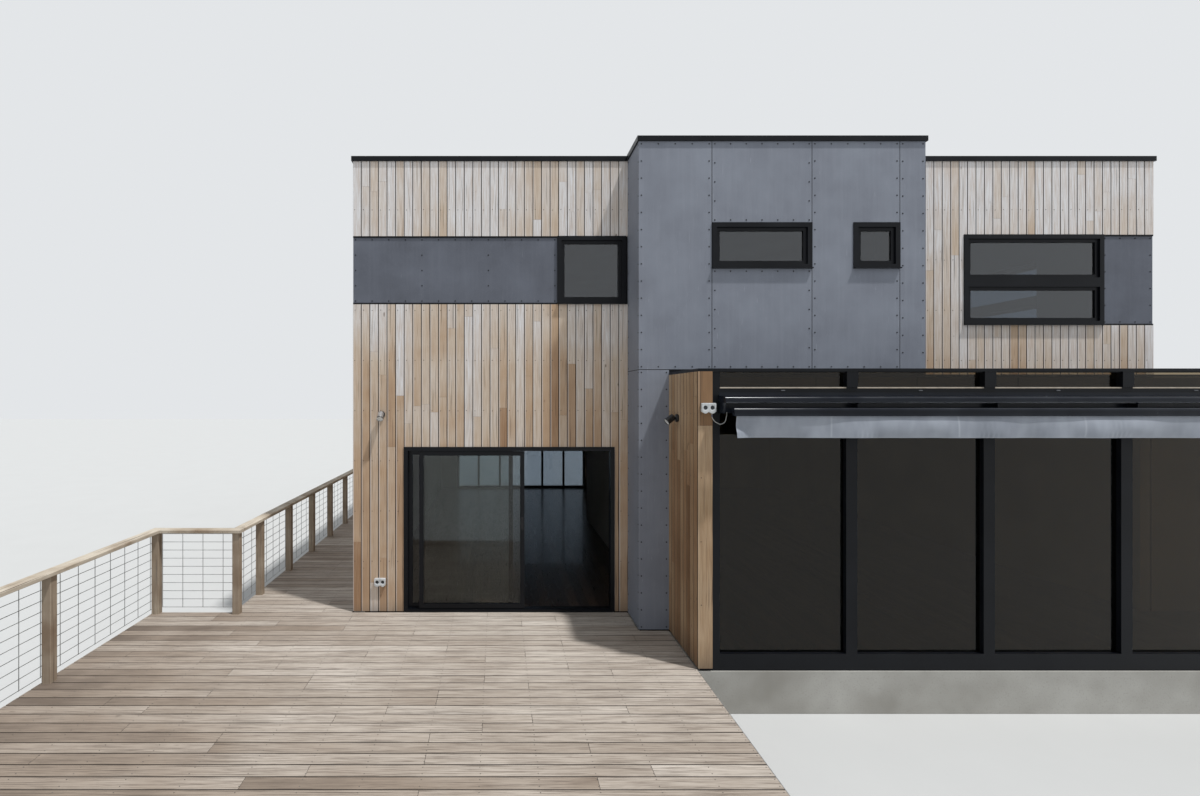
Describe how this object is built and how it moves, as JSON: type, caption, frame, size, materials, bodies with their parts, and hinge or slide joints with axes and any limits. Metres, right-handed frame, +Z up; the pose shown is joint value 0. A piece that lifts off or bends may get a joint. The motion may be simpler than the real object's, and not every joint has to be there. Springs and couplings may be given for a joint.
{
  "type": "beach house",
  "caption": "Flat-roofed beach house: timber-clad upper block, projecting grey box, glazed front room with folded awning, and a railed timber deck.",
  "frame": {"origin": "on the slab's underside at ground level, below the outer face of the front boards and at the middle of the two-storey block's width", "axes": "+X to the right along the front, +Y into the house, +Z up"},
  "size_m": [13.848, 14.397, 6.327],
  "materials": {
    "boards": "silvered hardwood boards",
    "cloth": "grey coated awning cloth",
    "concrete": "cast concrete",
    "dark_metal": "near-black powder coat",
    "deck": "weathered deck boards",
    "fittings": "small outdoor fittings",
    "floor_timber": "dark stained timber floor",
    "framing": "treated framing timber",
    "galvanised": "galvanised wire",
    "glass": "clear, slightly tinted",
    "hardware": "door hardware",
    "panels": "grey compressed cement sheet",
    "plaster": "painted plasterboard",
    "rail": "weathered rail timber",
    "roofing": "grey roof membrane",
    "steel": "primed steel"
  },
  "bodies": {
    "house": {"awning_arms": "dark_metal", "awning_brackets": "dark_metal", "awning_front_bar": "dark_metal", "awning_hood": "dark_metal", "awning_lead": "fittings", "awning_roll": "cloth", "awning_torsion_bar": "dark_metal", "awning_valance": "cloth", "back_boards": "boards", "back_wall": "plaster", "balustrade_posts": "rail", "band_panels": "panels", "box_front_wall": "plaster", "box_leg": "plaster", "box_panels": "panels", "box_side_walls": "plaster", "deck_bearers": "framing", "deck_boards": "deck", "deck_joists": "framing", "deck_ledgers": "framing", "deck_stumps": "framing", "deck_trim": "galvanised", "door_frame": "dark_metal", "east_wall": "plaster", "fixed_glass": "glass", "fixed_sash": "dark_metal", "floor_slab": "concrete", "front_boards": "boards", "front_wall_beside_door": "plaster", "front_wall_over_door": "plaster", "front_wall_right": "plaster", "hall_wall": "plaster", "handrail": "rail", "living_beam": "steel", "main_roof": "roofing", "mesh_left": "galvanised", "mesh_walkway": "galvanised", "pavilion_back_wall": "plaster", "pavilion_boards": "boards", "pavilion_cap": "dark_metal", "pavilion_frame": "dark_metal", "pavilion_glass": "glass", "pavilion_roof": "roofing", "pavilion_side_walls": "plaster", "roof_cap": "dark_metal", "side_boards": "boards", "small_fittings": "fittings", "timber_floor": "floor_timber", "upper_floor": "plaster", "wall_flashings": "dark_metal", "west_wall": "plaster", "window_frames": "dark_metal", "window_glass": "glass", "window_sashes": "dark_metal"},
    "sliding_door": {"sliding_glass": "glass", "sliding_hardware": "hardware", "sliding_sash": "dark_metal"}
  },
  "joints": [
    {"name": "door_slide", "type": "slide", "parent": "house", "child": "sliding_door", "axis": [1, 0, 0], "range_m": [-0.141, 1.105]}
  ]
}
